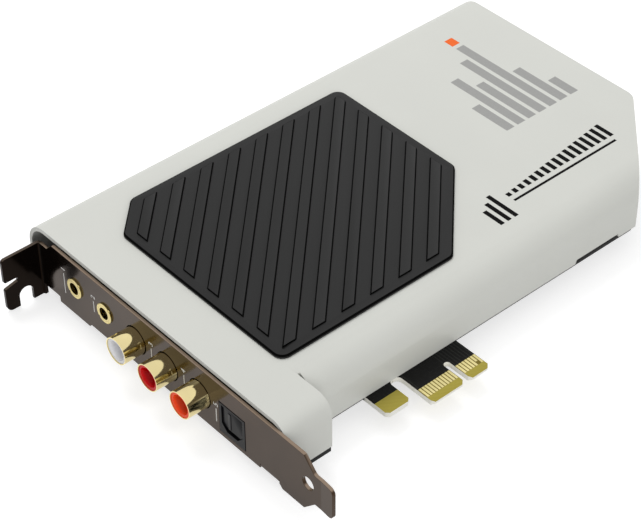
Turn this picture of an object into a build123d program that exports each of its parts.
from build123d import *
import math
import os

os.makedirs("parts", exist_ok=True)

# Sizes are in millimetres. While the card is drawn, X is 0 at the middle of the key slot and grows
# towards the far end, Y is 0 at the lower edge of the gold fingers and grows towards the card's top
# edge, and Z is 0 at the face of the board that carries the components. The card lies flat, cover up.

# Circuit board
board_thickness = 1.57
board_inset = 1.05
board_edge_gap = 0.2
hole_gap = 0.1

# Edge connector
contact_pitch = 1.0
contact_width = 0.7
contact_low_y = 2.2
contact_high_y = 5.7
short_contact_low_y = 3.4
contact_skin = 0.04
before_key_count = 11
after_key_count = 7
short_contact_index = 6
key_to_contact = 1.5
key_slot_width = 1.9
key_slot_depth = 8.4
finger_end_margin = 0.5
finger_bevel_height = 0.45
finger_bevel_length = 0.9
finger_corner = 0.9
notch_width = 3.5
notch_depth = 13.0
grip_finger_width = 8.0
grip_finger_low_y = 4.4

# Bracket
bracket_to_key = 57.15
bracket_thickness = 1.0
bracket_length = 118.8
bracket_width = 18.42
bracket_rim = 0.97
tab_face_y = 105.77
tab_reach = 11.95
tab_top_z = 11.7
tab_low_z = -6.3
tab_bend = 0.5
tab_corner = 1.2
tab_low_corner = 2.0
neck_length = 4.6
neck_slope = 2.5
screw_notch_width = 4.43
screw_notch_middle = 5.52
screw_notch_height = 5.5
tab_slot_height = 1.35
tab_slot_depth = 4.25
tab_slot_top_z = 3.85
tab_slot_flare = 1.0
tongue_width = 9.95
tongue_low_z = 0.0
tongue_length = 6.73
tongue_slope = 3.8
tongue_corner = 1.6
tongue_bend_angle = 4.0
tongue_bend_length = 4.4
bracket_hole_radius = 2.0
bracket_hole_inset = 9.17
bracket_hole_z = 5.39
lower_foot_length = 8.0
lower_foot_setback = 4.0
upper_foot_length = 13.2
upper_foot_y = 83.9
foot_slope = 0.9
ear_width = 6.8
ear_reach = 11.6
ear_bend = 1.2
ear_relief = 0.2
lower_ear_y = 10.4
upper_ear_y = 100.7
ear_hole_inset = 4.0

# Cover
cover_top_z = 15.5
cover_wall = 1.2
cover_low_z = 0.15
cover_bracket_gap = 0.28
cover_right_x = 105.4
cover_near_y = 12.5
cover_far_y = 111.1
cover_roll = 9.0
cover_far_roll = 7.3
cover_corner_cut = 28.5
cover_cut_round = 5.0
cover_far_round = 5.0
port_section_length = 14.6
port_section_near_y = 5.3
port_section_roll = 5.0
slit_width = 1.1
slit_start_y = 14.0
slit_end_y = 18.5
window_middle_x = 61.5
window_length = 17.3
window_height = 1.3
window_slope = 0.5
post_radius = 2.6
post_inset = 9.0
post_hole_depth = 7.0
post_left_x = -30.0
post_middle_x = 44.0
post_far_middle_x = 33.0
post_right_y = 54.0

# Ribbed plate on the cover
plate_left_x = -41.6
plate_right_x = 43.9
plate_near_y = 23.8
plate_far_y = 98.3
plate_height = 1.0
plate_small_cut = 10.6
plate_large_cut = 26.8
plate_round = 3.0
plate_rim = 2.9
rib_height = 0.45
rib_width = 3.32
rib_gap = 3.6
rib_round = 0.35
peg_radius = 1.2
peg_inset = 9.0
peg_head_radius = 2.0
peg_head_height = 0.7

# Ports
port_pitch = 13.0
port_gap = 0.15
fit_gap = 0.02
phono_first_y = 36.97
phono_count = 3
phono_axis_z = 5.38
phono_reach = 6.45
phono_radius = 4.0
phono_wall = 0.3
phono_ring_gap = 0.25
phono_sleeve_depth = 6.0
phono_collar_radius = 4.4
phono_collar_start = 1.0
phono_collar_depth = 0.8
phono_body_width = 9.8
phono_body_depth = 10.0
phono_body_height = 10.4
phono_leg_depth = 3.0
insert_recess = 0.25
insert_mouth_radius = 2.9
insert_bore_radius = 1.75
insert_funnel = 2.6
socket_tube_radius = 2.0
socket_tube_bore = 1.6
socket_tube_start = 4.2
socket_tube_floor = 1.0
socket_rod_radius = 1.0
leg_width = 0.8
leg_thickness = 0.5
leg_below_board = 0.6

jack_count = 2
jack_axis_z = 5.9
jack_bore_radius = 1.8
jack_bush_radius = 2.3
jack_bush_depth = 6.5
jack_nut_radius = 3.0
jack_nut_thickness = 0.5
jack_nut_slot = 0.5
jack_nut_slot_count = 4
jack_body_width = 9.0
jack_body_depth = 13.5
jack_body_height = 10.6
jack_plug_depth = 13.8
leaf_thickness = 0.3
leaf_width = 1.2
leaf_window_gap = 0.15
leaf_first_depth = 8.2
leaf_second_depth = 10.8

optical_y = 24.4
optical_width = 9.9
optical_low_z = -1.7
optical_top_z = 8.3
optical_proud = 0.1
optical_depth = 13.6
optical_step_depth = 3.2
optical_mouth_width = 8.0
optical_mouth_low_z = -0.3
optical_mouth_top_z = 7.7
optical_mouth_corner = 2.0
optical_lip = 0.25
optical_slot_depth = 1.6
window_border = 1.7
optical_chamber_width = 8.4
optical_chamber_low_z = 0.1
optical_chamber_top_z = 7.9
optical_chamber_depth = 9.8
optical_web = 0.6
optical_peg_radius = 0.8
optical_peg_depth = 6.5
lens_radius = 1.25
receiver_width = 6.8
receiver_top_z = 6.8
receiver_leg_count = 3
receiver_leg_pitch = 2.2
shutter_thickness = 0.7
shutter_barrel_radius = 0.4
shutter_axis_z = 7.15
shutter_gap = 0.05
shutter_side_gap = 0.15
shutter_low_gap = 0.5
shutter_rib_offset = 1.3
shutter_rib_width = 1.0
shutter_rib_height = 0.15
shutter_rib_low_z = 1.0
shutter_rib_top_z = 6.2
shutter_pin_radius = 0.3
shutter_pin_bite = 0.45
shutter_pin_gap = 0.04

# Fasteners
screw_gap = 0.1
thread_gap = 0.04
bracket_screw_radius = 1.5
bracket_screw_head_radius = 2.7
bracket_screw_head_height = 0.9
bracket_screw_end = 0.4
nut_height = 2.4
nut_flats = 5.5
washer_radius = 3.0
washer_height = 0.68
cover_screw_radius = 0.95
cover_screw_head_radius = 1.9
cover_screw_head_height = 1.0
cover_screw_bite = 5.0
drive_width = 0.5
drive_share = 0.7
drive_depth = 0.5

# Components under the cover
lead_radius = 0.3
joint_radius = 0.9
joint_tip_radius = 0.45
joint_height = 0.9
large_can_radius = 4.0
large_can_height = 11.5
small_can_radius = 3.15
small_can_height = 8.0
can_lead_spread = 1.75
can_groove_z = 1.6
can_groove_depth = 0.35
can_count = 6
can_first_y = 34.0
can_pitch_y = 10.4
large_can_x = -27.0
small_can_x = -17.0
film_length = 7.2
film_width = 4.5
film_height = 9.5
film_lead_spread = 2.5
film_count = 3
film_first_y = 77.0
film_pitch_y = 7.5
relay_length = 15.0
relay_width = 7.5
relay_height = 8.2
relay_pin_pitch = 5.08
relay_row_spread = 2.54
relay_count = 2
relay_first_y = 40.0
relay_pitch_y = 19.0
port_row_x = -37.0
crystal_length = 11.0
crystal_width = 4.6
crystal_height = 3.5
crystal_lead_spread = 2.44
inductor_side = 7.0
inductor_height = 3.2
inductor_round = 1.2
terminal_height = 0.3
terminal_width = 2.0
terminal_reach = 0.4
chip_leg_thickness = 0.16
chip_leg_reach = 1.0
chip_leg_width = 0.3
chip_seat = 0.1
processor_side = 14.0
processor_height = 1.4
processor_leg_count = 14
processor_pitch = 0.8
controller_side = 10.0
controller_height = 1.2
controller_leg_count = 10
controller_pitch = 0.8
converter_length = 10.2
converter_width = 5.3
converter_height = 1.75
converter_leg_count = 14
converter_pitch = 0.65
amplifier_length = 4.9
amplifier_width = 3.9
amplifier_height = 1.55
amplifier_leg_count = 4
amplifier_pitch = 1.27
amplifier_count = 5
amplifier_x = -7.0
amplifier_first_y = 36.0
amplifier_pitch_y = 12.0
regulator_length = 6.5
regulator_width = 3.5
regulator_height = 1.6
regulator_pitch = 2.3
regulator_tab = 3.0
header_pitch = 2.54
header_column_count = 5
header_row_count = 2
header_height = 2.5
header_pin_side = 0.64
header_pin_top = 8.5
header_y = 21.5
passive_length = 1.6
passive_width = 0.8
passive_height = 0.5
passive_count = 14
passive_pitch_y = 4.2
passive_first_y = 34.0
resistor_x = 1.5
ceramic_x = 52.0
processor_place = (34.0, 60.0)
controller_place = (14.0, 32.0)
converter_place = (12.0, 66.0)
crystal_places = [(34.0, 76.0), (30.0, 32.0)]
inductor_places = [(66.0, 92.0), (66.0, 80.0), (66.0, 68.0)]
regulator_places = [(-6.0, 100.0), (8.0, 100.0), (20.0, 92.0)]

# Places worked out from the sizes above
bracket_face_x = -bracket_to_key
bracket_back_x = bracket_face_x + bracket_thickness
ear_top_z = -board_thickness - washer_height
bracket_low_z = ear_top_z - bracket_thickness
bracket_foot_z = bracket_low_z - bracket_rim
bracket_top_z = bracket_foot_z + bracket_width
tab_tip_x = bracket_face_x - tab_reach
tongue_end_y = tab_face_y - bracket_length
tongue_start_y = tongue_end_y + tongue_length
lower_foot_y = tongue_start_y + lower_foot_setback
bracket_hole_y = tongue_end_y + bracket_hole_inset
board_back_z = -board_thickness
leg_low_z = board_back_z - leg_below_board
cover_left_x = bracket_back_x + cover_bracket_gap
port_section_end_x = cover_left_x + port_section_length
cover_inner_z = cover_top_z - cover_wall
board_left_x = cover_left_x + board_edge_gap
board_near_y = cover_near_y + board_inset
board_port_near_y = port_section_near_y + board_edge_gap
first_finger_x = -key_to_contact - before_key_count * contact_pitch + contact_width / 2
last_finger_x = key_to_contact + (after_key_count - 1) * contact_pitch + finger_end_margin
grip_right_x = first_finger_x - notch_width
grip_left_x = grip_right_x - grip_finger_width
body_front_x = bracket_back_x + fit_gap
phono_collar_x = body_front_x + phono_collar_start
chamber_x = bracket_face_x + optical_lip
shutter_axis_x = chamber_x + shutter_gap + shutter_thickness
ear_hole_x = bracket_face_x + ear_reach - ear_hole_inset
phono_places = [phono_first_y + port_pitch * index for index in range(phono_count)]
jack_places = [phono_places[-1] + port_pitch * (index + 1) for index in range(jack_count)]
beyond = 5.0


def outline(corners):
    """A flat closed outline from corners (u, v, rounding), always wound the same way."""
    following = corners[1:] + corners[:1]
    turning = sum(a[0] * b[1] - b[0] * a[1] for a, b in zip(corners, following))
    ordered = corners if turning > 0 else corners[::-1]
    shape = Polygon(*[(u, v) for u, v, rounding in ordered], align=None)
    for u, v, rounding in ordered:
        if rounding > 0:
            corner = shape.vertices().sort_by_distance(Vector(u, v))[0]
            shape = fillet(corner, rounding)
    return shape


def sharp(points):
    """The same points as corners with no rounding."""
    return [(u, v, 0) for u, v in points]


def along_x(shape, start, length):
    """An outline drawn in Y and Z, extruded along X."""
    return extrude(Plane.YZ.offset(start) * shape, length, dir=(1, 0, 0))


def along_y(shape, start, length):
    """An outline drawn in X and Z, extruded along Y."""
    return extrude(Plane.XZ.offset(-start) * shape, length, dir=(0, 1, 0))


def along_z(shape, start, length):
    """An outline drawn in X and Y, extruded along Z."""
    return extrude(Plane.XY.offset(start) * shape, length, dir=(0, 0, 1))


def block(x_span, y_span, z_span):
    """A box between two limits on each axis."""
    middle = [(low + high) / 2 for low, high in (x_span, y_span, z_span)]
    size = [high - low for low, high in (x_span, y_span, z_span)]
    return Pos(*middle) * Box(*size)


def about(middle, width):
    """The limits of a width centred on a place."""
    return (middle - width / 2, middle + width / 2)


def rod_x(radius, x_span, y, z):
    """A round bar along X."""
    return Pos(sum(x_span) / 2, y, z) * Rot(0, 90, 0) * Cylinder(radius, x_span[1] - x_span[0])


def rod_y(radius, y_span, x, z):
    """A round bar along Y."""
    return Pos(x, sum(y_span) / 2, z) * Rot(90, 0, 0) * Cylinder(radius, y_span[1] - y_span[0])


def rod_z(radius, z_span, x, y):
    """A round bar along Z."""
    return Pos(x, y, sum(z_span) / 2) * Cylinder(radius, z_span[1] - z_span[0])


nodes = {}
soldered = []
plain_holes = []


# Cover: a thin moulded shell whose long sides roll over, with one corner cut across and a wider
# section next to the bracket.
def cover_section(near_y, near_roll, inset):
    """The cover's cross-section, moved in by an inset."""
    near = near_y + inset
    far = cover_far_y - inset
    top = cover_top_z - inset
    low = cover_low_z - (beyond if inset else 0)
    return outline([
        (near, low, 0),
        (near, top, near_roll - inset),
        (far, top, cover_far_roll - inset),
        (far, low, 0),
    ])


def card_plan(left, inset):
    """The cover's outline from above, moved in by an inset."""
    slant = inset * (math.sqrt(2) - 1)
    near = cover_near_y + inset
    far = cover_far_y - inset
    right = cover_right_x - inset
    cut_x = cover_right_x - cover_corner_cut - slant
    cut_y = cover_near_y + cover_corner_cut + slant
    return outline([
        (left, near, 0),
        (cut_x, near, 0),
        (right, cut_y, cover_cut_round - inset),
        (right, far, cover_far_round - inset),
        (left, far, 0),
    ])


def long_section(start, inset):
    """The long part of the cover, or of its hollow."""
    length = cover_right_x - start + beyond
    shape = along_x(cover_section(cover_near_y, cover_roll, inset), start, length)
    return shape & along_z(card_plan(start - beyond, inset), -beyond, cover_top_z + 2 * beyond)


def port_section(start, end, inset):
    """The wider section by the bracket, or its hollow."""
    return along_x(cover_section(port_section_near_y, port_section_roll, inset), start, end - start)


far_post_y = cover_far_y - post_inset
near_post_y = cover_near_y + post_inset
right_post_x = cover_right_x - post_inset
post_places = [
    (post_left_x, near_post_y),
    (post_middle_x, near_post_y),
    (right_post_x, post_right_y),
    (right_post_x, far_post_y),
    (post_far_middle_x, far_post_y),
    (post_left_x, far_post_y),
]
peg_places = [
    (plate_left_x + peg_inset, plate_near_y + peg_inset),
    (plate_left_x + peg_inset + plate_small_cut, plate_far_y - peg_inset),
    (plate_right_x - peg_inset, plate_far_y - peg_inset),
    (plate_right_x - peg_inset, plate_near_y + plate_large_cut),
]


def make_cover():
    shell = long_section(port_section_end_x, 0) + port_section(cover_left_x, port_section_end_x, 0)
    hollow_start = cover_left_x - beyond
    shell -= long_section(hollow_start, cover_wall)
    shell -= port_section(hollow_start, port_section_end_x - cover_wall, cover_wall)
    slit = (port_section_end_x, port_section_end_x + slit_width)
    shell -= block(slit, (slit_start_y, slit_end_y), (cover_top_z - cover_roll, cover_top_z + beyond))
    half = window_length / 2
    top = cover_low_z + window_height
    window = outline(sharp([
        (window_middle_x - half, -beyond),
        (window_middle_x - half, cover_low_z),
        (window_middle_x - half + window_slope, top),
        (window_middle_x + half - window_slope, top),
        (window_middle_x + half, cover_low_z),
        (window_middle_x + half, -beyond),
    ]))
    shell -= along_y(window, cover_near_y - beyond, beyond + 2 * cover_wall)
    for x, y in post_places:
        shell += rod_z(post_radius, (0, cover_inner_z + cover_wall / 2), x, y)
    for x, y in post_places:
        shell -= rod_z(cover_screw_radius + thread_gap, (-beyond, post_hole_depth), x, y)
    for x, y in peg_places:
        shell -= rod_z(peg_radius + port_gap, (cover_inner_z - beyond / 2, cover_top_z + beyond), x, y)
    return shell


nodes["cover"] = make_cover()


# Ribbed plate: a hexagon of dark plastic with raised slanting ribs, staked to the cover by four pegs.
def plate_outline(inset, rounding):
    slant = inset * (math.sqrt(2) - 1)
    left = plate_left_x + inset
    right = plate_right_x - inset
    near = plate_near_y + inset
    far = plate_far_y - inset
    small = plate_small_cut - inset + slant
    large = plate_large_cut - inset + slant
    return outline([
        (left, near, rounding),
        (right - large, near, rounding),
        (right, near + large, rounding),
        (right, far, rounding),
        (left + small, far, rounding),
        (left, far - small, rounding),
    ])


def make_plate():
    top = cover_top_z + plate_height
    plate = along_z(plate_outline(0, plate_round), cover_top_z, plate_height)
    plate = chamfer(plate.faces().sort_by(Axis.Z)[-1].edges(), rib_round)
    field = along_z(plate_outline(plate_rim, 0), top, rib_height)
    slant_pitch = (rib_width + rib_gap) * math.sqrt(2)
    slant_width = rib_width * math.sqrt(2)
    start = plate_left_x + plate_small_cut - plate_far_y
    end = plate_right_x - plate_large_cut - plate_near_y
    run = plate_far_y - plate_near_y
    count = int((end - start) / slant_pitch)
    first = (start + end - slant_pitch * (count - 1)) / 2
    for index in range(count):
        offset = first + slant_pitch * index
        rib = outline(sharp([
            (plate_near_y - run + offset - slant_width / 2, plate_near_y - run),
            (plate_near_y - run + offset + slant_width / 2, plate_near_y - run),
            (plate_far_y + run + offset + slant_width / 2, plate_far_y + run),
            (plate_far_y + run + offset - slant_width / 2, plate_far_y + run),
        ]))
        piece = along_z(rib, top - rib_height, 2 * rib_height + beyond) & field
        if piece and piece.volume > rib_height:
            plate += piece
    for x, y in peg_places:
        plate += rod_z(peg_radius, (cover_inner_z - peg_head_height, cover_top_z + rib_height), x, y)
        plate += rod_z(peg_head_radius, (cover_inner_z - peg_head_height, cover_inner_z), x, y)
    return plate


nodes["ribbed_plate"] = make_plate()


# Bracket: one folded steel sheet. Its flat face, its tab and its two ears are drawn as three nodes
# that meet at the folds, and the face is drawn in stretches that meet across it.
def bracket_blank():
    tongue_top_z = tongue_low_z + tongue_width
    body_start_y = tongue_start_y + tongue_slope
    fold_y = tab_face_y - bracket_thickness - tab_bend
    neck_y = tab_face_y - neck_length
    lower_foot_end = lower_foot_y + lower_foot_length
    upper_foot_end = upper_foot_y + upper_foot_length
    edge = outline([
        (tongue_end_y, tongue_low_z, tongue_corner),
        (tongue_end_y, tongue_top_z, tongue_corner),
        (tongue_start_y, tongue_top_z, tongue_corner),
        (body_start_y, bracket_top_z, 0),
        (neck_y - neck_slope, bracket_top_z, 0),
        (neck_y, tab_top_z, 0),
        (fold_y, tab_top_z, 0),
        (fold_y, bracket_low_z, 0),
        (upper_foot_end, bracket_low_z, 0),
        (upper_foot_end, bracket_foot_z, 0),
        (upper_foot_y, bracket_foot_z, 0),
        (upper_foot_y - foot_slope, bracket_low_z, 0),
        (lower_foot_end + foot_slope, bracket_low_z, 0),
        (lower_foot_end, bracket_foot_z, 0),
        (lower_foot_y, bracket_foot_z, 0),
        (tongue_start_y, tongue_low_z, 0),
    ])
    return along_x(edge, bracket_face_x, bracket_thickness)


def bent_tongue(blank):
    """The last stretch of the tongue leans outwards."""
    bend_y = tongue_end_y + tongue_bend_length
    reach_y = (tongue_end_y - beyond, bend_y)
    span_z = (bracket_foot_z - beyond, bracket_top_z + beyond)
    tip = blank & block((bracket_face_x - beyond, bracket_back_x + beyond), reach_y, span_z)
    rest = blank - block((bracket_face_x - beyond, bracket_back_x + beyond), reach_y, span_z)
    pivot = Pos(bracket_back_x, bend_y, 0)
    return rest + pivot * Rot(0, 0, -tongue_bend_angle) * pivot.inverse() * tip


def bracket_tab():
    inner_y = tab_face_y - bracket_thickness
    fold_y = inner_y - tab_bend
    fold = outline([
        (bracket_face_x, fold_y, 0),
        (bracket_back_x, fold_y, 0),
        (bracket_back_x, tab_face_y, bracket_thickness + tab_bend - fit_gap),
        (tab_tip_x, tab_face_y, 0),
        (tab_tip_x, inner_y, 0),
        (bracket_face_x, inner_y, tab_bend - fit_gap),
    ])
    tab = along_z(fold, tab_low_z, tab_top_z - tab_low_z)
    notch_x = bracket_face_x - screw_notch_middle
    half = screw_notch_width / 2
    notch_top = tab_low_z + screw_notch_height
    slot_low = tab_slot_top_z - tab_slot_height
    keep = outline([
        (bracket_back_x + beyond, tab_top_z, 0),
        (tab_tip_x, tab_top_z, tab_corner),
        (tab_tip_x, tab_slot_top_z, tab_corner / 2),
        (tab_tip_x + tab_slot_depth, tab_slot_top_z, 0),
        (tab_tip_x + tab_slot_depth, slot_low, 0),
        (tab_tip_x, slot_low - tab_slot_flare, tab_corner / 2),
        (tab_tip_x, tab_low_z, tab_low_corner),
        (notch_x - half, tab_low_z, 0),
        (notch_x - half, notch_top, half - fit_gap),
        (notch_x + half, notch_top, half - fit_gap),
        (notch_x + half, tab_low_z, 0),
        (bracket_back_x + beyond, tab_low_z, 0),
    ])
    return tab & along_y(keep, fold_y - beyond, 2 * beyond + bracket_thickness)


def bracket_ear(y):
    profile = outline([
        (bracket_face_x, ear_top_z + tab_bend, 0),
        (bracket_face_x, bracket_low_z, ear_bend),
        (bracket_face_x + ear_reach, bracket_low_z, 0),
        (bracket_face_x + ear_reach, ear_top_z, 0),
        (bracket_back_x, ear_top_z, ear_bend - bracket_thickness),
        (bracket_back_x, ear_top_z + tab_bend, 0),
    ])
    ear = along_y(profile, y - ear_width / 2, ear_width)
    hole_z = (bracket_low_z - beyond, ear_top_z + beyond)
    return ear - rod_z(bracket_screw_radius + screw_gap, hole_z, ear_hole_x, y)


def bracket_sheet():
    bracket = bent_tongue(bracket_blank())
    depth = (bracket_face_x - beyond, bracket_back_x + beyond)
    for y in (lower_ear_y, upper_ear_y):
        gap = about(y, ear_width + 2 * ear_relief)
        bracket -= block(depth, gap, (bracket_foot_z - beyond, ear_top_z + tab_bend))
    for y in phono_places:
        bracket -= rod_x(phono_radius + phono_ring_gap, depth, y, phono_axis_z)
    for y in jack_places:
        bracket -= rod_x(jack_bush_radius + port_gap, depth, y, jack_axis_z)
    window_z = (optical_low_z - port_gap, optical_top_z + port_gap)
    bracket -= block(depth, about(optical_y, optical_width + 2 * port_gap), window_z)
    bracket -= rod_x(bracket_hole_radius, depth, bracket_hole_y, bracket_hole_z)
    return bracket


def bracket_stretches(sheet):
    """The flat face in four stretches: two of them hold half of the optical window each."""
    reach = optical_width / 2 + port_gap + window_border
    cuts = [optical_y - reach, optical_y, optical_y + reach]
    depth = (bracket_face_x - beyond, bracket_back_x + beyond)
    height = (bracket_foot_z - beyond, bracket_top_z + beyond)
    limits = [tongue_end_y - beyond] + cuts + [tab_face_y + beyond]
    return [sheet & block(depth, span, height) for span in zip(limits, limits[1:])]


nodes["bracket"] = Compound(children=bracket_stretches(bracket_sheet()))
nodes["bracket_tab"] = bracket_tab()
nodes["bracket_ears"] = Compound(children=[bracket_ear(y) for y in (lower_ear_y, upper_ear_y)])


# Phono sockets: a gold shell, a coloured lining, a gold centre contact and a black body for each.
def phono_shell(y):
    tip = bracket_face_x - phono_reach
    sleeve = rod_x(phono_radius, (tip, body_front_x + phono_sleeve_depth), y, phono_axis_z)
    collar_x = (phono_collar_x, phono_collar_x + phono_collar_depth)
    collar = rod_x(phono_collar_radius, collar_x, y, phono_axis_z)
    leg_x = (body_front_x + phono_leg_depth, body_front_x + phono_leg_depth + leg_thickness)
    leg_top = phono_axis_z - phono_radius + phono_wall / 2
    leg = block(leg_x, about(y, leg_width), (leg_low_z, leg_top))
    soldered.append((sum(leg_x) / 2, y, math.hypot(leg_width, leg_thickness) / 2))
    hollow = rod_x(phono_radius - phono_wall, (tip - beyond, body_front_x + 2 * beyond), y, phono_axis_z)
    return sleeve + collar + leg - hollow


def phono_insert(y):
    start = bracket_face_x - phono_reach + insert_recess
    end = body_front_x + phono_sleeve_depth
    tube_start = start + socket_tube_start
    lining = rod_x(phono_radius - phono_wall - fit_gap, (start, end), y, phono_axis_z)
    lining -= rod_x(insert_bore_radius, (start - beyond, tube_start + fit_gap), y, phono_axis_z)
    lining -= rod_x(socket_tube_radius + fit_gap, (tube_start, end + beyond), y, phono_axis_z)
    funnel = Cone(insert_mouth_radius, insert_bore_radius, insert_funnel)
    return lining - Pos(start + insert_funnel / 2, y, phono_axis_z) * Rot(0, 90, 0) * funnel


def phono_contact(y):
    start = bracket_face_x - phono_reach + insert_recess + socket_tube_start + fit_gap
    end = body_front_x + phono_sleeve_depth
    rear = body_front_x + phono_body_depth + fit_gap
    tube = rod_x(socket_tube_radius, (start, end), y, phono_axis_z)
    tube -= rod_x(socket_tube_bore, (start - beyond, end - socket_tube_floor), y, phono_axis_z)
    tube += rod_x(socket_rod_radius, (end - socket_tube_floor, rear + leg_thickness), y, phono_axis_z)
    soldered.append((rear + leg_thickness / 2, y, math.hypot(leg_width, leg_thickness) / 2))
    return tube + block((rear, rear + leg_thickness), about(y, leg_width), (leg_low_z, phono_axis_z))


def phono_body(y):
    rear = body_front_x + phono_body_depth
    body = block((body_front_x, rear), about(y, phono_body_width), (0, phono_body_height))
    front = body_front_x - beyond
    collar_x = (phono_collar_x - fit_gap, phono_collar_x + phono_collar_depth + fit_gap)
    sleeve_end = body_front_x + phono_sleeve_depth + fit_gap
    body -= rod_x(phono_collar_radius + fit_gap, collar_x, y, phono_axis_z)
    body -= rod_x(phono_radius + fit_gap, (front, sleeve_end), y, phono_axis_z)
    body -= rod_x(socket_rod_radius + fit_gap, (front, rear + beyond), y, phono_axis_z)
    leg_start = body_front_x + phono_leg_depth - port_gap
    leg_x = (leg_start, leg_start + leg_thickness + 2 * port_gap)
    return body - block(leg_x, about(y, leg_width + 2 * port_gap), (-beyond, phono_axis_z))


for index, y in enumerate(phono_places):
    nodes[f"phono_shell_{index + 1}"] = phono_shell(y)
    nodes[f"phono_lining_{index + 1}"] = phono_insert(y)
    nodes[f"phono_contact_{index + 1}"] = phono_contact(y)
    nodes[f"phono_body_{index + 1}"] = phono_body(y)


# Headset jacks: a threaded bush held by a slotted ring nut, a body and three contact leaves for each.
def jack_bush(y):
    start = bracket_face_x - jack_nut_thickness
    end = body_front_x + jack_bush_depth
    bush = rod_x(jack_bush_radius, (start, end), y, jack_axis_z)
    return bush - rod_x(jack_bore_radius, (start - beyond, end + beyond), y, jack_axis_z)


def jack_nut(y):
    start = bracket_face_x - jack_nut_thickness
    nut = rod_x(jack_nut_radius, (start, bracket_face_x), y, jack_axis_z)
    nut -= rod_x(jack_bush_radius + thread_gap, (start - beyond, bracket_face_x + beyond), y, jack_axis_z)
    middle = Pos(start, y, jack_axis_z)
    for index in range(jack_nut_slot_count):
        turn = 360 * (index + 1 / 2) / jack_nut_slot_count
        slot = Pos(0, jack_nut_radius, 0) * Box(jack_nut_thickness, jack_nut_slot, jack_nut_slot)
        nut -= middle * Rot(turn, 0, 0) * slot
    return nut


leaf_spots = [(leaf_first_depth, 1), (leaf_first_depth, -1), (leaf_second_depth, 1)]


def jack_body(y):
    front = body_front_x - beyond
    bore_end = bracket_face_x - jack_nut_thickness + jack_plug_depth
    body_x = (body_front_x, body_front_x + jack_body_depth)
    body = block(body_x, about(y, jack_body_width), (0, jack_body_height))
    bush_end = body_front_x + jack_bush_depth + fit_gap
    body -= rod_x(jack_bush_radius + fit_gap, (front, bush_end), y, jack_axis_z)
    body -= rod_x(jack_bore_radius, (front, bore_end), y, jack_axis_z)
    for depth, side in leaf_spots:
        window_x = about(body_front_x + depth, leaf_width + 2 * leaf_window_gap)
        window_y = sorted((y + side * jack_bore_radius / 2, y + side * (jack_body_width / 2 + beyond)))
        body -= block(window_x, window_y, about(jack_axis_z, leaf_thickness + 2 * leaf_window_gap))
    return body


def jack_leaf(x, y, side):
    inner = y + side * jack_bore_radius
    face = y + side * (jack_body_width / 2 + fit_gap)
    outer = face + side * leaf_thickness
    finger = block(about(x, leaf_width), sorted((inner, outer)), about(jack_axis_z, leaf_thickness))
    top = jack_axis_z + leaf_thickness / 2
    upright = block(about(x, leaf_width), sorted((face, outer)), (leaf_thickness, top))
    foot = block(about(x, leg_thickness), sorted((face, outer)), (leg_low_z, leaf_thickness))
    soldered.append((x, (face + outer) / 2, math.hypot(leg_thickness, leaf_thickness) / 2))
    return finger + upright + foot


for index, y in enumerate(jack_places):
    leaves = [jack_leaf(body_front_x + depth, y, side) for depth, side in leaf_spots]
    nodes[f"jack_bush_{index + 1}"] = jack_bush(y)
    nodes[f"jack_nut_{index + 1}"] = jack_nut(y)
    nodes[f"jack_body_{index + 1}"] = jack_body(y)
    nodes[f"jack_leaves_{index + 1}"] = Compound(children=leaves)


# Optical socket: a stepped body, a hinged shutter behind its mouth and a receiver at the back.
web_x = chamber_x + optical_chamber_depth
receiver_x = web_x + optical_web + fit_gap
optical_end_x = bracket_face_x + optical_depth
receiver_leg_places = [optical_y + (index - 1) * receiver_leg_pitch for index in range(receiver_leg_count)]
optical_peg_x = body_front_x + optical_peg_depth
optical_peg_places = [
    optical_y - optical_width / 2 + 2 * optical_peg_radius,
    optical_y + optical_width / 2 - 2 * optical_peg_radius,
]


def optical_body():
    start = bracket_face_x - optical_proud
    step = bracket_face_x + optical_step_depth
    wide = about(optical_y, optical_width)
    body = block((start, step), wide, (optical_low_z, optical_top_z))
    body += block((step, optical_end_x), wide, (0, optical_top_z))
    half = optical_mouth_width / 2
    mouth = outline(sharp([
        (optical_y - half, optical_mouth_top_z),
        (optical_y - half, optical_mouth_low_z + optical_mouth_corner),
        (optical_y - half + optical_mouth_corner, optical_mouth_low_z),
        (optical_y + half - optical_mouth_corner, optical_mouth_low_z),
        (optical_y + half, optical_mouth_low_z + optical_mouth_corner),
        (optical_y + half, optical_mouth_top_z),
    ]))
    body -= along_x(mouth, start - beyond, chamber_x - start + 2 * beyond)
    chamber_z = (optical_chamber_low_z, optical_chamber_top_z)
    body -= block((chamber_x, web_x), about(optical_y, optical_chamber_width), chamber_z)
    slot_y = about(optical_y, optical_mouth_width - 2 * optical_mouth_corner)
    slot_z = (optical_mouth_low_z, optical_chamber_top_z)
    body -= block((chamber_x, chamber_x + optical_slot_depth), slot_y, slot_z)
    pocket_z = (-beyond, receiver_top_z + fit_gap)
    pocket_x = (web_x + optical_web, optical_end_x + beyond)
    body -= block(pocket_x, about(optical_y, receiver_width + 2 * fit_gap), pocket_z)
    lens_x = (web_x - beyond, web_x + beyond)
    body -= rod_x(lens_radius + fit_gap, lens_x, optical_y, (receiver_top_z + fit_gap) / 2)
    bearing = about(optical_y, optical_chamber_width + 2 * (shutter_pin_bite + shutter_gap))
    body -= rod_y(shutter_pin_radius + shutter_pin_gap, bearing, shutter_axis_x, shutter_axis_z)
    for y in optical_peg_places:
        body += rod_z(optical_peg_radius, (board_back_z, fit_gap), optical_peg_x, y)
        plain_holes.append((optical_peg_x, y, optical_peg_radius + hole_gap))
    return body


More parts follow.
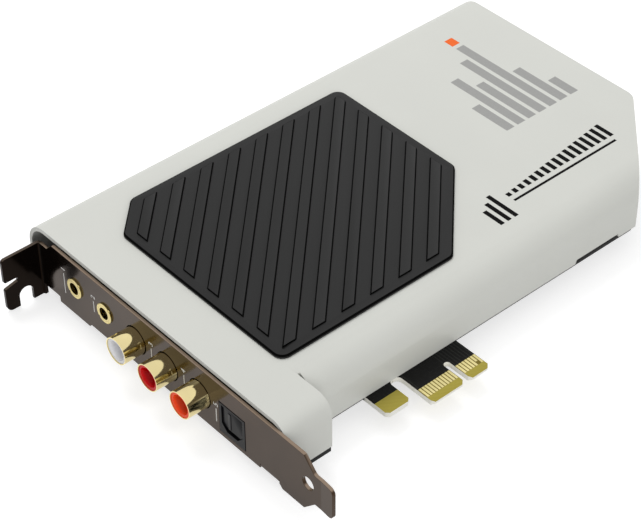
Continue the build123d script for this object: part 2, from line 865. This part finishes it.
def optical_shutter():
    width = optical_chamber_width - 2 * shutter_side_gap
    front = chamber_x + shutter_gap
    low = optical_chamber_low_z + shutter_low_gap
    flap = block((front, front + shutter_thickness), about(optical_y, width), (low, shutter_axis_z))
    flap += rod_y(shutter_barrel_radius, about(optical_y, width), shutter_axis_x, shutter_axis_z)
    rib_x = (front - shutter_rib_height, front + shutter_thickness)
    rib_y = about(optical_y + shutter_rib_offset, shutter_rib_width)
    flap += block(rib_x, rib_y, (shutter_rib_low_z, shutter_rib_top_z))
    reach = optical_chamber_width + 2 * shutter_pin_bite
    return flap + rod_y(shutter_pin_radius, about(optical_y, reach), shutter_axis_x, shutter_axis_z)


def optical_receiver():
    wide = about(optical_y, receiver_width)
    receiver = block((receiver_x, optical_end_x), wide, (fit_gap, receiver_top_z))
    receiver += rod_x(lens_radius, (web_x, receiver_x + fit_gap), optical_y, receiver_top_z / 2)
    x = (receiver_x + optical_end_x) / 2
    for y in receiver_leg_places:
        receiver += block(about(x, leg_thickness), about(y, leg_thickness), (leg_low_z, leg_thickness))
        soldered.append((x, y, math.hypot(leg_thickness, leg_thickness) / 2))
    return receiver


nodes["optical_body"] = optical_body()
nodes["optical_shutter"] = optical_shutter()
nodes["optical_receiver"] = optical_receiver()


# Fasteners
def drive_recess(z, x, y, radius):
    """A cross recess cut up into a screw head from below."""
    reach = 2 * radius * drive_share
    depth = (z - beyond, z + drive_depth)
    cross = block(about(x, reach), about(y, drive_width), depth)
    return cross + block(about(x, drive_width), about(y, reach), depth)


def bracket_screw(x, y):
    head_z = (bracket_low_z - bracket_screw_head_height, bracket_low_z)
    screw = rod_z(bracket_screw_head_radius, head_z, x, y)
    screw += rod_z(bracket_screw_radius, (bracket_low_z, nut_height + bracket_screw_end), x, y)
    return screw - drive_recess(head_z[0], x, y, bracket_screw_head_radius)


def bracket_nut(x, y):
    hexagon = RegularPolygon(nut_flats / 2, 6, major_radius=False)
    nut = along_z(Pos(x, y) * hexagon, 0, nut_height)
    return nut - rod_z(bracket_screw_radius + thread_gap, (-beyond, nut_height + beyond), x, y)


def bracket_washer(x, y):
    washer = rod_z(washer_radius, (ear_top_z, board_back_z), x, y)
    return washer - rod_z(bracket_screw_radius + screw_gap, (ear_top_z - beyond, beyond), x, y)


def cover_screw(x, y):
    head_z = (board_back_z - cover_screw_head_height, board_back_z)
    screw = rod_z(cover_screw_head_radius, head_z, x, y)
    screw += rod_z(cover_screw_radius, (board_back_z, cover_screw_bite), x, y)
    return screw - drive_recess(head_z[0], x, y, cover_screw_head_radius)


ear_holes = [(ear_hole_x, lower_ear_y), (ear_hole_x, upper_ear_y)]
plain_holes += [(x, y, bracket_screw_radius + screw_gap) for x, y in ear_holes]
plain_holes += [(x, y, cover_screw_radius + screw_gap) for x, y in post_places]
nodes["bracket_screws"] = Compound(children=[bracket_screw(x, y) for x, y in ear_holes])
nodes["bracket_nuts"] = Compound(children=[bracket_nut(x, y) for x, y in ear_holes])
nodes["bracket_washers"] = Compound(children=[bracket_washer(x, y) for x, y in ear_holes])
nodes["cover_screws"] = Compound(children=[cover_screw(x, y) for x, y in post_places])


# Components with wire leads
def lead(x, y, top):
    """A wire lead from a component down through the board."""
    soldered.append((x, y, lead_radius))
    return rod_z(lead_radius, (leg_low_z, top), x, y)


def can_capacitor(x, y, radius, height):
    """An aluminium can with a rolled groove near its foot and a cross score on its top."""
    can = rod_z(radius, (fit_gap, height), x, y)
    can = fillet(can.edges().sort_by(Axis.Z)[-1], can_groove_depth)
    can -= Pos(x, y, can_groove_z) * Torus(radius + can_groove_depth / 2, can_groove_depth)
    score_z = (height - can_groove_depth / 2, height + beyond)
    can -= block(about(x, radius), about(y, can_groove_depth), score_z)
    can -= block(about(x, can_groove_depth), about(y, radius), score_z)
    can += lead(x, y - can_lead_spread, lead_radius)
    return can + lead(x, y + can_lead_spread, lead_radius)


def film_capacitor(x, y):
    box = block(about(x, film_length), about(y, film_width), (fit_gap, film_height))
    box = chamfer(box.edges().filter_by(Axis.Z), can_groove_depth)
    box += lead(x - film_lead_spread, y, lead_radius)
    return box + lead(x + film_lead_spread, y, lead_radius)


def relay(x, y):
    box = block(about(x, relay_width), about(y, relay_length), (fit_gap, relay_height))
    box = chamfer(box.faces().sort_by(Axis.Z)[-1].edges(), can_groove_depth)
    for row in (-relay_row_spread, relay_row_spread):
        for step in (-relay_pin_pitch, 0, relay_pin_pitch):
            box += lead(x + row, y + step, lead_radius)
    return box


def crystal(x, y):
    can = along_z(Pos(x, y) * SlotOverall(crystal_length, crystal_width), fit_gap, crystal_height)
    can = fillet(can.faces().sort_by(Axis.Z)[-1].edges(), can_groove_depth)
    can += lead(x - crystal_lead_spread, y, lead_radius)
    return can + lead(x + crystal_lead_spread, y, lead_radius)


column = [can_first_y + can_pitch_y * index for index in range(can_count)]
large_cans = [can_capacitor(large_can_x, y, large_can_radius, large_can_height) for y in column]
small_cans = [can_capacitor(small_can_x, y, small_can_radius, small_can_height) for y in column]
film_caps = [film_capacitor(port_row_x, film_first_y + film_pitch_y * index) for index in range(film_count)]
relays = [relay(port_row_x, relay_first_y + relay_pitch_y * index) for index in range(relay_count)]
nodes["large_capacitors"] = Compound(children=large_cans)
nodes["small_capacitors"] = Compound(children=small_cans)
nodes["film_capacitors"] = Compound(children=film_caps)
nodes["relays"] = Compound(children=relays)
nodes["crystals"] = Compound(children=[crystal(x, y) for x, y in crystal_places])


# Components that sit on the board's face
def chip_leg(width, height):
    """A gull-wing leg that leaves a chip's side towards +X and ends on the board."""
    knee = chip_leg_reach / 2
    middle = height / 2
    leg = outline(sharp([
        (-knee, middle),
        (knee, middle),
        (knee, chip_leg_thickness),
        (chip_leg_reach, chip_leg_thickness),
        (chip_leg_reach, fit_gap),
        (knee - chip_leg_thickness, fit_gap),
        (knee - chip_leg_thickness, middle - chip_leg_thickness),
        (-knee, middle - chip_leg_thickness),
    ]))
    return along_y(leg, -width / 2, width)


def leg_row(side_distance, count, pitch, height, turn):
    """A row of legs along one side of a chip."""
    leg = chip_leg(chip_leg_width, height)
    first = -(count - 1) * pitch / 2
    return [Rot(0, 0, turn) * Pos(side_distance, first + pitch * index, 0) * leg for index in range(count)]


def chip(place, size, rows):
    """A moulded chip body of a given size with rows of legs (turn, count, pitch)."""
    length_x, length_y, height = size
    body = block(about(0, length_x), about(0, length_y), (chip_seat, height))
    body = chamfer(body.faces().sort_by(Axis.Z)[-1].edges(), chip_seat)
    for turn, count, pitch in rows:
        distance = (length_x if turn % 180 == 0 else length_y) / 2
        body += leg_row(distance, count, pitch, height, turn)
    return Pos(place[0], place[1], 0) * body


def four_sides(count, pitch):
    return [(turn, count, pitch) for turn in (0, 90, 180, 270)]


def long_sides(count, pitch):
    return [(turn, count, pitch) for turn in (90, 270)]


processor_rows = four_sides(processor_leg_count, processor_pitch)
controller_rows = four_sides(controller_leg_count, controller_pitch)
converter_rows = long_sides(converter_leg_count, converter_pitch)
amplifier_rows = long_sides(amplifier_leg_count, amplifier_pitch)
processor_size = (processor_side, processor_side, processor_height)
controller_size = (controller_side, controller_side, controller_height)
converter_size = (converter_length, converter_width, converter_height)
amplifier_size = (amplifier_length, amplifier_width, amplifier_height)
amplifiers = []
for index in range(amplifier_count):
    place = (amplifier_x, amplifier_first_y + amplifier_pitch_y * index)
    amplifiers.append(chip(place, amplifier_size, amplifier_rows))
nodes["audio_processor"] = chip(processor_place, processor_size, processor_rows)
nodes["bus_controller"] = chip(controller_place, controller_size, controller_rows)
nodes["converter_chip"] = chip(converter_place, converter_size, converter_rows)
nodes["amplifier_chips"] = Compound(children=amplifiers)


def regulator(place):
    """A power regulator: three legs on one side, a wide tab on the other."""
    body = block(about(0, regulator_length), about(0, regulator_width), (chip_seat, regulator_height))
    body += leg_row(regulator_width / 2, 3, regulator_pitch, regulator_height, 270)
    tab = chip_leg(regulator_tab, regulator_height)
    return Pos(place[0], place[1], 0) * (body + Rot(0, 0, 90) * Pos(regulator_width / 2, 0, 0) * tab)


def inductor(place):
    """A shielded power inductor with a terminal plate at each end."""
    core = Pos(place[0], place[1]) * RectangleRounded(inductor_side, inductor_side, inductor_round)
    body = along_z(core, fit_gap, inductor_height)
    plate_x = about(place[0], inductor_side + 2 * terminal_reach)
    return body + block(plate_x, about(place[1], terminal_width), (fit_gap, terminal_height))


def passive(x, y):
    return block(about(x, passive_length), about(y, passive_width), (fit_gap, passive_height))


passive_column = [passive_first_y + passive_pitch_y * index for index in range(passive_count)]
nodes["regulators"] = Compound(children=[regulator(place) for place in regulator_places])
nodes["inductors"] = Compound(children=[inductor(place) for place in inductor_places])
nodes["resistors"] = Compound(children=[passive(resistor_x, y) for y in passive_column])
nodes["ceramic_capacitors"] = Compound(children=[passive(ceramic_x, y) for y in passive_column])

# Front panel header behind the cover's low window
header_length = header_column_count * header_pitch
header_width = header_row_count * header_pitch
header_start_x = window_middle_x - (header_column_count - 1) * header_pitch / 2
header_start_y = header_y - (header_row_count - 1) * header_pitch / 2
header_base = block(about(window_middle_x, header_length), about(header_y, header_width), (0, header_height))
header_posts = []
for column_index in range(header_column_count):
    for row_index in range(header_row_count):
        pin_x = header_start_x + header_pitch * column_index
        pin_y = header_start_y + header_pitch * row_index
        side_x = about(pin_x, header_pin_side)
        side_y = about(pin_y, header_pin_side)
        header_posts.append(block(side_x, side_y, (leg_low_z, header_pin_top)))
        gap_x = about(pin_x, header_pin_side + 2 * fit_gap)
        gap_y = about(pin_y, header_pin_side + 2 * fit_gap)
        header_base -= block(gap_x, gap_y, (-beyond, header_height + beyond))
        soldered.append((pin_x, pin_y, header_pin_side / math.sqrt(2)))
nodes["header_base"] = header_base
nodes["header_pins"] = Compound(children=header_posts)


# Circuit board: its plan follows the cover, with the edge connector and a lobe behind the bracket.
def connector_plan():
    key = key_slot_width / 2
    top = board_near_y + beyond
    corner = finger_corner
    return outline([
        (grip_left_x, top, 0),
        (grip_left_x, grip_finger_low_y + corner, 0),
        (grip_left_x + corner, grip_finger_low_y, 0),
        (grip_right_x - corner, grip_finger_low_y, 0),
        (grip_right_x, grip_finger_low_y + corner, 0),
        (grip_right_x, notch_depth, notch_width / 2 - fit_gap),
        (first_finger_x, notch_depth, notch_width / 2 - fit_gap),
        (first_finger_x, corner, 0),
        (first_finger_x + corner, 0, 0),
        (-key - corner, 0, 0),
        (-key, corner, 0),
        (-key, key_slot_depth, key - fit_gap),
        (key, key_slot_depth, key - fit_gap),
        (key, corner, 0),
        (key + corner, 0, 0),
        (last_finger_x - corner, 0, 0),
        (last_finger_x, corner, 0),
        (last_finger_x, top, 0),
    ])


def make_board():
    plan = card_plan(board_left_x, board_inset) + connector_plan()
    lobe = outline(sharp([
        (board_left_x, board_port_near_y),
        (port_section_end_x - board_edge_gap, board_port_near_y),
        (port_section_end_x - board_edge_gap, board_near_y + beyond),
        (board_left_x, board_near_y + beyond),
    ]))
    plan += lobe
    gap = about(optical_y, optical_width + 2 * port_gap)
    notch_end = bracket_face_x + optical_step_depth + port_gap
    plan -= outline(sharp([
        (board_left_x - beyond, gap[0]),
        (notch_end, gap[0]),
        (notch_end, gap[1]),
        (board_left_x - beyond, gap[1]),
    ]))
    for x, y, radius in plain_holes:
        plan -= Pos(x, y) * Circle(radius)
    for x, y, radius in soldered:
        plan -= Pos(x, y) * Circle(radius + hole_gap)
    board = along_z(plan, board_back_z, board_thickness)
    slope = finger_bevel_height / finger_bevel_length
    wedge = [
        (-beyond, beyond),
        (-beyond, -finger_bevel_height - slope * beyond),
        (finger_bevel_length, 0),
        (finger_bevel_length, beyond),
    ]
    mirrored = [(y, board_back_z - z) for y, z in wedge]
    width = last_finger_x - first_finger_x + 2 * fit_gap
    for side in (wedge, mirrored):
        board -= along_x(outline(sharp(side)), first_finger_x - fit_gap, width)
    return board


nodes["circuit_board"] = make_board()


# Contacts of the edge connector: the one before the last is short on the component side.
def contact(x, low_y, z_span):
    return block(about(x, contact_width), (low_y, contact_high_y), z_span)


before_key = [-key_to_contact - contact_pitch * index for index in range(before_key_count)]
after_key = [key_to_contact + contact_pitch * index for index in range(after_key_count)]
front_contacts = []
back_contacts = []
for x in before_key + after_key:
    is_short = x == after_key[short_contact_index - 1]
    low_y = short_contact_low_y if is_short else contact_low_y
    front_contacts.append(contact(x, low_y, (0, contact_skin)))
    back_contacts.append(contact(x, contact_low_y, (board_back_z - contact_skin, board_back_z)))
nodes["edge_contacts_front"] = Compound(children=front_contacts)
nodes["edge_contacts_back"] = Compound(children=back_contacts)


# Solder joints: a cone on the board's back round the end of each soldered pin.
def solder_joint(x, y, radius):
    cone = Cone(joint_tip_radius + radius / 2, joint_radius, joint_height)
    joint = Pos(x, y, board_back_z - joint_height / 2) * cone
    return joint - rod_z(radius + fit_gap, (leg_low_z - fit_gap, beyond), x, y)


nodes["solder_joints"] = Compound(children=[solder_joint(x, y, radius) for x, y, radius in soldered])

# The kept frame has its origin under the middle of the card's box, at the height of its lowest point.
origin_x = (tab_tip_x + cover_right_x) / 2
origin_y = (tongue_end_y + cover_far_y) / 2
to_origin = Pos(-origin_x, -origin_y, -tab_low_z)
for name, shape in nodes.items():
    export_step(to_origin * shape, f"parts/{name}.step")
